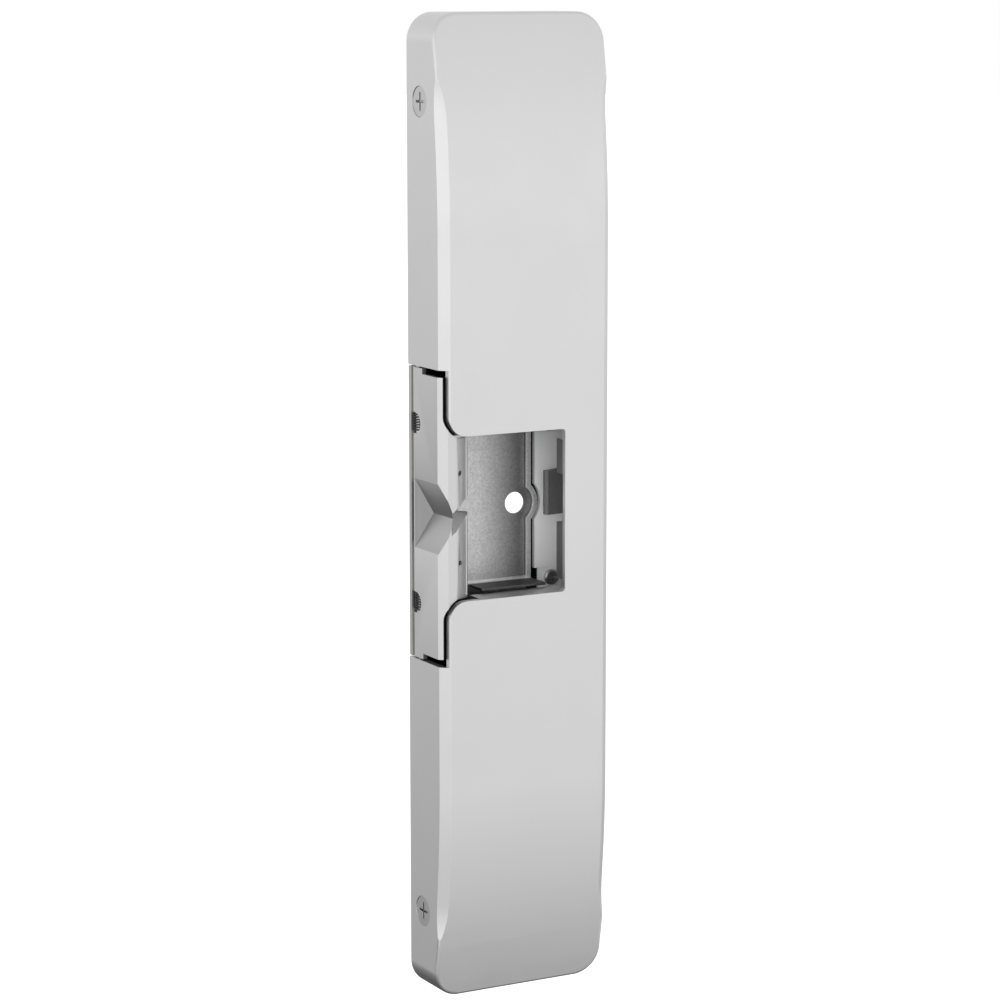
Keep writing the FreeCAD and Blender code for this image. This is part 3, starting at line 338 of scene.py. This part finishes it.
# Where the painted shade and painted light start and stop, as the two ends of a soft step in mm. "Out" is the
# height above or below the middle, and "in" is the distance from the piece's left side unless a comment says
# otherwise.
# Painted shade on the inner face of the cover's folded rim beside the mouth.
RIM_FACE_LEFT_IN = (31.90, 31.96)
RIM_FACE_RIGHT_IN = (32.15, 32.08)
RIM_FACE_FRONT = (-16.3, -15.5)
RIM_FACE_OUT = (16.5, 16.3)
RIM_FACE_PAINTED_SHADE = 0.30

# Painted shade on the keeper's ends where they pass under the cover.
HINGE_IN = 1.4 * MM
HINGE_FROM_BACK = 2.7 * MM
COVERED_REACH = (12.2, 12.05)      # from the hinge
COVERED_IN = (0.95, 1.05)
COVERED_OUT = (18.9, 19.2)
COVERED_PAINTED_SHADE = 0.06
# Painted shade in the keeper's groove, darker still on its ramp.
GROOVE_SLOPE = 0.4405              # the groove gets shallower by this share of the height
GROOVE_IN = (3.75, 3.68)
GROOVE_SHADE_FROM_IN = (0.02, 0.06)
GROOVE_PAINTED_SHADE = 0.72
RAMP_SLOPE = 0.75
RAMP_FRONT = (-2.85, -2.75)
RAMP_PAINTED_SHADE = 0.62

# Painted shade on the plate in the gap beside the tray's right side.
STRIP_IN = (-2.2, -2.1)            # from the tray's right side
STRIP_OUT = (21.0, 20.8)
STRIP_FRONT = (-0.5, -0.6)
STRIP_PAINTED_SHADE = 0.03

# Painted shade on the tray's floor towards its rim, painted light on the rim and painted shade on the end
# walls.
TRAY_LIT_IN = 10.0 * MM            # the floor starts to darken here
TRAY_DARK_IN = 4.0 * MM            # and is darkest this far from its right side
TRAY_FLOOR_PAINTED_SHADE = 0.38
TRAY_RIM_FRONT = (-2.2, -2.4)
TRAY_RIM_PAINTED_LIGHT = 1.4
TRAY_WALL_FRONT = (-3.0, -4.0)
TRAY_WALL_PAINTED_SHADE = 0.12


def position(made):
    """X, Y and Z sockets of the object coordinates."""
    place = add(made.tree, "ShaderNodeSeparateXYZ")
    link(made.tree, made.place, place.inputs[0])
    return place.outputs["X"], place.outputs["Y"], place.outputs["Z"]


def make_cover_finish():
    """Satin cover, with painted shade on the inner face of the folded rim on the right of the mouth."""
    made = brushed("satin_cover", 0.735, 0.40, ALONG_Z, 2600.0, 0.0000015, 0.3, 0.02)
    tree = made.tree
    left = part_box("cover")[0].x
    x, y, z = position(made)
    out = math_node(tree, "ABSOLUTE", z)
    # Painted shade: the rim's inner face beside the mouth is darkened.
    rim_face_painted_shade = all_masks(tree, soft_step(tree, x, RIM_FACE_LEFT_IN, left),
                         soft_step(tree, x, RIM_FACE_RIGHT_IN, left),
                         soft_step(tree, y, RIM_FACE_FRONT), soft_step(tree, out, RIM_FACE_OUT))
    scale_colour(made, rim_face_painted_shade, RIM_FACE_PAINTED_SHADE)
    return made


def make_keeper_finish():
    """Satin keeper, with painted shade in its groove, on its ramp and on its ends where they pass under the
    cover.
    """
    made = brushed("keeper_satin", 0.68, 0.40, EVEN, 2200.0, 0.000004, 0.5, 0.05)
    tree = made.tree
    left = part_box("keeper")[0].x
    x, y, z = position(made)
    out = math_node(tree, "ABSOLUTE", z)

    # Painted shade: the ends that pass under the cover are darkened nearly to black.
    from_hinge_x = math_node(tree, "SUBTRACT", x, left + HINGE_IN)
    from_hinge_y = math_node(tree, "ADD", y, HINGE_FROM_BACK)
    reach = math_node(tree, "SQRT", math_node(tree, "ADD", math_node(tree, "POWER", from_hinge_x, 2.0),
                                              math_node(tree, "POWER", from_hinge_y, 2.0)))
    under_cover_painted_shade = all_masks(tree, soft_step(tree, reach, COVERED_REACH), soft_step(tree, x, COVERED_IN, left),
                        soft_step(tree, out, COVERED_OUT))
    scale_colour(made, under_cover_painted_shade, COVERED_PAINTED_SHADE)

    # Painted shade: the groove is darkened, and its ramp more so.
    inward = math_node(tree, "SUBTRACT", x, left)
    from_apex = math_node(tree, "ADD", inward, math_node(tree, "MULTIPLY", out, GROOVE_SLOPE))
    in_groove = all_masks(tree, soft_step(tree, from_apex, GROOVE_IN),
                          soft_step(tree, inward, GROOVE_SHADE_FROM_IN))
    scale_colour(made, in_groove, GROOVE_PAINTED_SHADE)
    above_ramp = math_node(tree, "ADD", y, math_node(tree, "MULTIPLY", inward, RAMP_SLOPE))
    ramp_painted_shade = all_masks(tree, in_groove, soft_step(tree, above_ramp, RAMP_FRONT))
    scale_colour(made, ramp_painted_shade, RAMP_PAINTED_SHADE)
    return made


def make_plate_finish():
    """Rolled plate, with painted shade where the tray and the bracket leave a gap."""
    made = brushed("plate_rolled", 0.56, 0.36, ALONG_Z, 900.0, 0.000004, 0.4, 0.10, 0.01)
    tree = made.tree
    tray_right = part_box("latch_tray")[1].x
    x, y, z = position(made)
    out = math_node(tree, "ABSOLUTE", z)
    # Painted shade: the plate is darkened nearly to black in the gap.
    gap_painted_shade = all_masks(tree, soft_step(tree, x, STRIP_IN, tray_right), soft_step(tree, out, STRIP_OUT),
                      soft_step(tree, y, STRIP_FRONT))
    scale_colour(made, gap_painted_shade, STRIP_PAINTED_SHADE)
    return made


def make_bracket_finish():
    """Dull zinc plating on drawn steel."""
    made = brushed("bracket_zinc", 0.93, 0.55, ALONG_Z, 1800.0, 0.000003, 0.2, 0.03)
    made.shader.inputs["Metallic"].default_value = 0.1
    return made


def make_tray_finish():
    """Blasted tray with painted shade on its floor towards the rim, painted light on the rim and painted
    shade that makes the end walls nearly black.
    """
    made = blasted("blasted_tray", 0.66, 0.50, 4200.0, 0.000012, 0.12)
    tree = made.tree
    low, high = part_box("latch_tray")
    x, y = position(made)[:2]
    far = spread(tree, x, low.x + TRAY_LIT_IN, high.x - TRAY_DARK_IN)
    raised = soft_step(tree, y, TRAY_RIM_FRONT)
    on_floor = math_node(tree, "SUBTRACT", 1.0, raised)
    # Painted shade: the floor darkens towards the rim.
    scale_colour(made, all_masks(tree, far, on_floor), TRAY_FLOOR_PAINTED_SHADE)
    # Painted light: the rim is brightened.
    scale_colour(made, raised, TRAY_RIM_PAINTED_LIGHT)
    # Painted shade: the end walls are darkened nearly to black.
    scale_colour(made, soft_step(tree, y, TRAY_WALL_FRONT), TRAY_WALL_PAINTED_SHADE)
    return made


def make_board_finish():
    """Green solder mask over copper tracks."""
    made = Finish("board_mask", 0.0, 0.32, (0.02, 0.16, 0.07))
    tracks = add(made.tree, "ShaderNodeTexBrick")
    tracks.inputs["Scale"].default_value = 260.0
    tracks.inputs["Mortar Size"].default_value = 0.035
    tracks.inputs["Mortar Smooth"].default_value = 0.2
    flat = add(made.tree, "ShaderNodeMapping")
    flat.inputs["Rotation"].default_value = (math.pi / 2, 0, 0)
    link(made.tree, made.place, flat.inputs["Vector"])
    link(made.tree, flat.outputs["Vector"], tracks.inputs["Vector"])
    made.colour_between(tracks.outputs["Fac"], (0.018, 0.15, 0.065), (0.05, 0.27, 0.10))
    wear = made.use(WEAR)
    made.roughness_between(wear["Smudge"], 0.28, 0.42)
    made.bump(tracks.outputs["Fac"], 0.00003)
    return made


def make_tape_finish():
    """Amber polyester tape with wrap lines."""
    made = Finish("coil_tape", 0.0, 0.28, (0.55, 0.30, 0.04))
    wraps = add(made.tree, "ShaderNodeTexWave", bands_direction="Z", wave_profile="SAW")
    wraps.inputs["Scale"].default_value = 70.0
    wraps.inputs["Distortion"].default_value = 0.6
    link(made.tree, made.place, wraps.inputs["Vector"])
    made.colour_between(wraps.outputs["Fac"], (0.48, 0.24, 0.03), (0.66, 0.40, 0.07))
    wear = made.use(WEAR, Size=2.0)
    made.roughness_between(wear["Smudge"], 0.22, 0.38)
    made.bump(wraps.outputs["Fac"], 0.00005)
    return made


# brushed: name, tone, roughness, grain direction, grain per metre, grain depth, edge wear, contrast, warmth.
# blasted: name, tone, roughness, pits per metre, pit depth, contrast, warmth.
# moulded: name, colour, roughness, pits per metre, pit depth, how much paler where rubbed.
finishes = {
    "satin_stainless": make_cover_finish(),
    "keeper_steel": make_keeper_finish(),
    "blasted_steel": make_tray_finish(),
    "bracket_steel": make_bracket_finish(),
    "plate_steel": make_plate_finish(),
    # Near-black blackened steel, whose darkness also stands as painted shade in the dark gaps beside the
    # keeper.
    "block_steel": brushed("block_blackened_painted_shade", 0.045, 0.42, ALONG_X, 1600.0, 0.000006, 0.10, 0.12),
    "plated_frame": blasted("frame_zinc", 0.60, 0.34, 1500.0, 0.000006, 0.12, 0.05),
    "pin_steel": brushed("pin_ground", 0.62, 0.22, ROUND_Z, 700.0, 0.000003, 0.4, 0.08),
    "screw_steel": brushed("screw_machined", 0.58, 0.30, EVEN, 1800.0, 0.000005, 0.6, 0.10),
    "spring_steel": brushed("spring_phosphated", 0.10, 0.40, EVEN, 1500.0, 0.000003, 0.2, 0.15),
    "dark_plastic": moulded("rocker_plastic", (0.115, 0.115, 0.118), 0.50, 3200.0, 0.000012),
    "black_plastic": moulded("black_plastic", (0.022, 0.022, 0.023), 0.42, 3600.0, 0.000010),
    "button_plastic": moulded("button_plastic", (0.50, 0.055, 0.03), 0.35, 3600.0, 0.000006),
    "nylon": moulded("natural_nylon", (0.70, 0.67, 0.58), 0.45, 3000.0, 0.000008, 0.1),
    "brass": brushed("tinned_brass", 0.62, 0.26, ALONG_Z, 2000.0, 0.000003, 0.4, 0.10, 0.18),
    "board_laminate": make_board_finish(),
    "capacitor_can": moulded("capacitor_sleeve", (0.020, 0.022, 0.055), 0.30, 3000.0, 0.000004),
    "coil_tape": make_tape_finish(),
}
COPPER = brushed("enamelled_copper", 0.50, 0.30, EVEN, 1500.0, 0.000003, 0.3, 0.10, 0.45).material


# ---------------------------------------------------------------- pieces

MERGE_WITHIN = 0.000002
FLAT_WITHIN = math.radians(0.2)
SHARP_FROM = math.radians(32.0)
SMALL_PART_SHARP_FROM = math.radians(40)
EDGE_SEGMENTS = 2

# How far the sharp edges of each node are rounded over, in mm.
EASED = {"cover": 0.2, "keeper": 0.15, "latch_tray": 0.08, "monitor_bracket": 0.08, "monitor_rocker": 0.2}
EASED_ON_EACH_SIDE = {"bearing_block": 0.15, "solenoid_frame": 0.10, "bobbin": 0.08, "plunger": 0.08}
EASED_SLIGHTLY = ("back_plate", "cover_screws", "monitor_switch", "wire_header", "mode_selector",
                  "circuit_board")
SLIGHTLY = 0.08

WIRE_R = 0.19 * MM
WIRE_PITCH = 0.37 * MM
TAPE_T = 0.12 * MM
TAPE_SHARE = 0.62                  # share of the coil's length under the tape
TAPE_EDGE = 0.08 * MM

CHIP_EDGE = 0.06 * MM
# In mm, from the board's lower left corner.
RESISTOR_PLACES = [(4.5, 29.5), (8.5, 29.5), (4.5, 11.5), (8.5, 11.5)]
RESISTOR_SIZE = (2.0, 0.6, 1.25)
RESISTOR_END_SIZE = (0.5, 0.62, 1.3)
RESISTOR_END_SHIFT = 1.2


def select_only(piece):
    bpy.ops.object.select_all(action="DESELECT")
    piece.select_set(True)
    bpy.context.view_layer.objects.active = piece


def settle(piece, node, slot):
    """The piece takes its finish, rides with the node's body and stands for the node."""
    piece.data.materials.clear()
    piece.data.materials.append(finishes[slot].material)
    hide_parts(node)
    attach(piece, body_of_node[node])


def softened(node, width):
    """Copy of a CAD node with its sharp edges rounded over by width."""
    piece = nodes[node].copy()
    piece.data = nodes[node].data.copy()
    piece.parent = None
    for key in list(piece.keys()):
        del piece[key]
    piece.name = node + "_finished"
    bpy.context.scene.collection.objects.link(piece)
    select_only(piece)
    bpy.ops.object.mode_set(mode="EDIT")
    bpy.ops.mesh.select_all(action="SELECT")
    bpy.ops.mesh.remove_doubles(threshold=MERGE_WITHIN)
    bpy.ops.mesh.customdata_custom_splitnormals_clear()
    bpy.ops.mesh.dissolve_limited(angle_limit=FLAT_WITHIN)
    bpy.ops.object.mode_set(mode="OBJECT")
    bevel = piece.modifiers.new("edges", "BEVEL")
    bevel.width = width
    bevel.segments = EDGE_SEGMENTS
    bevel.limit_method = "ANGLE"
    bevel.angle_limit = SHARP_FROM
    bevel.harden_normals = False
    bevel.use_clamp_overlap = True
    bpy.ops.object.modifier_apply(modifier="edges")
    bpy.ops.object.shade_smooth_by_angle(angle=SHARP_FROM)
    weighted = piece.modifiers.new("normals", "WEIGHTED_NORMAL")
    weighted.keep_sharp = True
    bpy.ops.object.modifier_apply(modifier="normals")
    settle(piece, node, slot_of_node[node])


for node_name, cad_node in nodes.items():
    cad_node.data.materials.clear()
    cad_node.data.materials.append(finishes[slot_of_node[node_name]].material)


def dress(piece, name, material, body="housing"):
    """A piece made here takes its name, its finish and its place on a body."""
    piece.name = name
    piece.data.materials.clear()
    piece.data.materials.append(material)
    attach(piece, body)


def wound_coil(side):
    """One layer of enamelled wire in place of the plain coil, with a wrap of tape round its middle.

    The wrap is a solid cylinder, so it also fills the middle of the bobbin.
    """
    node = side + "coil"
    low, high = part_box(node)
    middle = (low + high) / 2
    outer = (high.x - low.x) / 2
    turns = int((high.z - low.z - 2 * WIRE_R) / WIRE_PITCH)
    bpy.ops.object.select_all(action="DESELECT")
    bpy.ops.mesh.primitive_torus_add(major_segments=56, minor_segments=8, minor_radius=WIRE_R,
                                     major_radius=outer - TAPE_T - WIRE_R,
                                     location=(middle.x, middle.y, middle.z - WIRE_PITCH * (turns - 1) / 2))
    wire = bpy.context.object
    row = wire.modifiers.new("turns", "ARRAY")
    row.count = turns
    row.use_relative_offset = False
    row.use_constant_offset = True
    row.constant_offset_displace = (0.0, 0.0, WIRE_PITCH)
    bpy.ops.object.modifier_apply(modifier="turns")
    bpy.ops.object.transform_apply(location=True, rotation=False, scale=False)
    bpy.ops.object.shade_smooth()
    dress(wire, node + "_wire", COPPER)
    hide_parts(node)

    bpy.ops.object.select_all(action="DESELECT")
    bpy.ops.mesh.primitive_cylinder_add(vertices=96, radius=outer, depth=(high.z - low.z) * TAPE_SHARE,
                                        location=middle)
    tape = bpy.context.object
    bpy.ops.object.transform_apply(location=True, rotation=False, scale=False)
    bpy.ops.object.mode_set(mode="EDIT")
    bpy.ops.mesh.select_all(action="SELECT")
    bpy.ops.mesh.bevel(offset=TAPE_EDGE, segments=EDGE_SEGMENTS)
    bpy.ops.object.mode_set(mode="OBJECT")
    bpy.ops.object.shade_smooth_by_angle(angle=SMALL_PART_SHARP_FROM)
    dress(tape, node + "_wrap", finishes["coil_tape"].material)


def chip(name, x, z, size, slot):
    """Small part on the front of the circuit board, with its edges eased. Place and size are in mm."""
    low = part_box("circuit_board")[0]
    bpy.ops.object.select_all(action="DESELECT")
    place = (low.x + x * MM, low.y - size[1] * MM / 2, low.z + z * MM)
    bpy.ops.mesh.primitive_cube_add(size=1.0, location=place, scale=[length * MM for length in size])
    body = bpy.context.object
    bpy.ops.object.transform_apply(location=True, rotation=False, scale=True)
    bpy.ops.object.mode_set(mode="EDIT")
    bpy.ops.mesh.select_all(action="SELECT")
    bpy.ops.mesh.bevel(offset=CHIP_EDGE, segments=EDGE_SEGMENTS)
    bpy.ops.object.mode_set(mode="OBJECT")
    bpy.ops.object.shade_smooth_by_angle(angle=SMALL_PART_SHARP_FROM)
    dress(body, name, finishes[slot].material)


def ease_edges():
    """Round over the sharp edges of every node that shows them."""
    for node, width in EASED.items():
        softened(node, width * MM)
    for side in SIDES:
        for part, width in EASED_ON_EACH_SIDE.items():
            softened(side + part, width * MM)
    for node in EASED_SLIGHTLY:
        softened(node, SLIGHTLY * MM)


def fit_resistors():
    """Four resistors with tinned ends on the circuit board."""
    for number, (x, z) in enumerate(RESISTOR_PLACES, 1):
        name = "resistor_%d" % number
        chip(name, x, z, RESISTOR_SIZE, "black_plastic")
        for end, direction in enumerate((-1, 1), 1):
            shift = direction * RESISTOR_END_SHIFT
            chip("%s_end_%d" % (name, end), x + shift, z, RESISTOR_END_SIZE, "brass")


# ---------------------------------------------------------------- studio

# How bright the surround is from straight down (0) through eye level (0.5) to straight up (1).
FRONT_TONES = [(0.0, 0.14), (0.17, 0.27), (0.25, 0.55), (0.33, 0.74), (0.40, 0.76),
               (0.46, 0.99), (0.53, 0.92), (0.63, 0.74), (1.0, 0.62)]
BACK_TONES = [(0.0, 0.02), (0.20, 0.05), (0.30, 0.16), (0.36, 0.42), (0.42, 0.57),
              (0.47, 0.68), (0.52, 0.80), (0.70, 0.68), (1.0, 0.60)]
FRONT_TO_BACK = (-0.35, 0.6)       # the front tones turn into the back ones between these, along Y
SURROUND_STRENGTH = 1.2

CAVITY_POWER = 8.0
CAVITY_CONE = math.radians(2.7)
CAVITY_BLEND = 0.35
CAVITY_LAMP_R = 0.02
CAVITY_TARGET = Vector((8.5 * MM, -5.0 * MM, 0.0))
CAVITY_DIRECTION = Vector((-0.475, -0.85, 0.17))
CAVITY_DISTANCE = 0.85

FLOOR_RADIUS = 12.0
FLOOR_DROP = 0.25
FLOOR_COLOUR = (0.93, 0.93, 0.93, 1.0)
FLOOR_GLOW = 0.55

CAMERA_TURN = math.radians(28.83)
CAMERA_RISE = math.radians(9.51)
CAMERA_AIM = Vector((0.0, -8.0 * MM, 0.0))
CAMERA_DISTANCE = 0.75
LENS = 115.92
LENS_SHIFT = (-0.0095, 0.0081)


def make_world():
    """Soft studio surround: bright at eye level, dimmer towards the floor and behind on the left."""
    world = bpy.data.worlds.new("studio")
    bpy.context.scene.world = world
    world.use_nodes = True
    tree = world.node_tree
    tree.nodes.clear()
    direction = add(tree, "ShaderNodeTexCoord").outputs["Generated"]
    parts = add(tree, "ShaderNodeSeparateXYZ")
    link(tree, direction, parts.inputs[0])
    height = spread(tree, parts.outputs["Z"], -1.0, 1.0)
    tones = add(tree, "ShaderNodeMix", data_type="RGBA")
    link(tree, spread(tree, parts.outputs["Y"], *FRONT_TO_BACK), tones.inputs["Factor"])
    for label, stops in (("A", FRONT_TONES), ("B", BACK_TONES)):
        ramp = add(tree, "ShaderNodeValToRGB")
        while len(ramp.color_ramp.elements) < len(stops):
            ramp.color_ramp.elements.new(0.5)
        for element, (position, tone) in zip(ramp.color_ramp.elements, stops):
            element.position = position
            element.color = (tone, tone, tone, 1.0)
        link(tree, height, ramp.inputs["Fac"])
        link(tree, ramp.outputs["Color"], tones.inputs[label])
    surround = add(tree, "ShaderNodeBackground")
    link(tree, tones.outputs["Result"], surround.inputs["Color"])
    surround.inputs["Strength"].default_value = SURROUND_STRENGTH
    white = add(tree, "ShaderNodeBackground")
    white.inputs["Color"].default_value = (1.0, 1.0, 1.0, 1.0)
    white.inputs["Strength"].default_value = 1.0
    seen = add(tree, "ShaderNodeLightPath").outputs["Is Camera Ray"]
    mix = add(tree, "ShaderNodeMixShader")
    link(tree, seen, mix.inputs["Fac"])
    link(tree, surround.outputs[0], mix.inputs[1])
    link(tree, white.outputs[0], mix.inputs[2])
    out = add(tree, "ShaderNodeOutputWorld")
    link(tree, mix.outputs[0], out.inputs["Surface"])


def make_light(name, place, target, width, height, power):
    """Rectangular soft light that faces the target."""
    data = bpy.data.lights.new(name, "AREA")
    data.shape = "RECTANGLE"
    data.size = width
    data.size_y = height
    data.energy = power
    light = bpy.data.objects.new(name, data)
    bpy.context.scene.collection.objects.link(light)
    light.location = place
    light.rotation_euler = (Vector(target) - Vector(place)).to_track_quat("-Z", "Y").to_euler()


def make_cavity_lamp():
    """Narrow lamp beside the lens that fills the latch cavity."""
    data = bpy.data.lights.new("cavity_lamp", "SPOT")
    data.energy = CAVITY_POWER
    data.spot_size = CAVITY_CONE
    data.spot_blend = CAVITY_BLEND
    data.shadow_soft_size = CAVITY_LAMP_R
    lamp = bpy.data.objects.new("cavity_lamp", data)
    bpy.context.scene.collection.objects.link(lamp)
    lamp.location = CAVITY_TARGET + CAVITY_DIRECTION.normalized() * CAVITY_DISTANCE
    lamp.rotation_euler = (CAVITY_TARGET - lamp.location).to_track_quat("-Z", "Y").to_euler()


def make_floor():
    """Plain pale floor below the strike, wide enough to have no visible edge."""
    bpy.ops.object.select_all(action="DESELECT")
    bpy.ops.mesh.primitive_circle_add(vertices=64, radius=FLOOR_RADIUS, fill_type="NGON",
                                      location=(0, 0, cad_low.z - FLOOR_DROP))
    floor = bpy.context.object
    floor.name = "studio_floor"
    paint = bpy.data.materials.new("floor_paint")
    paint.use_nodes = True
    shader = paint.node_tree.nodes["Principled BSDF"]
    shader.inputs["Base Color"].default_value = FLOOR_COLOUR
    shader.inputs["Roughness"].default_value = 0.9
    shader.inputs["Emission Color"].default_value = (1.0, 1.0, 1.0, 1.0)
    shader.inputs["Emission Strength"].default_value = FLOOR_GLOW
    floor.data.materials.append(paint)
    floor.visible_glossy = False
    floor.visible_diffuse = False


def make_camera():
    """Long lens from the front, left of the strike and a little above it."""
    back = Vector((-math.sin(CAMERA_TURN) * math.cos(CAMERA_RISE),
                   -math.cos(CAMERA_TURN) * math.cos(CAMERA_RISE), math.sin(CAMERA_RISE)))
    data = bpy.data.cameras.new("camera")
    data.sensor_width = 36.0
    data.lens = LENS
    data.shift_x, data.shift_y = LENS_SHIFT
    data.clip_start = 0.05
    data.clip_end = 60.0
    camera = bpy.data.objects.new("camera", data)
    bpy.context.scene.collection.objects.link(camera)
    camera.location = CAMERA_AIM + back * CAMERA_DISTANCE
    camera.rotation_euler = (-back).to_track_quat("-Z", "Y").to_euler()
    bpy.context.scene.camera = camera


ease_edges()
for side in SIDES:
    wound_coil(side)
fit_resistors()

make_world()
make_floor()
make_light("left_softbox", place=(-0.9, -0.55, 0.25), target=(0, 0, 0.02), width=0.5, height=0.9, power=0.5)
make_cavity_lamp()
make_camera()
bpy.context.scene.view_settings.view_transform = "Standard"
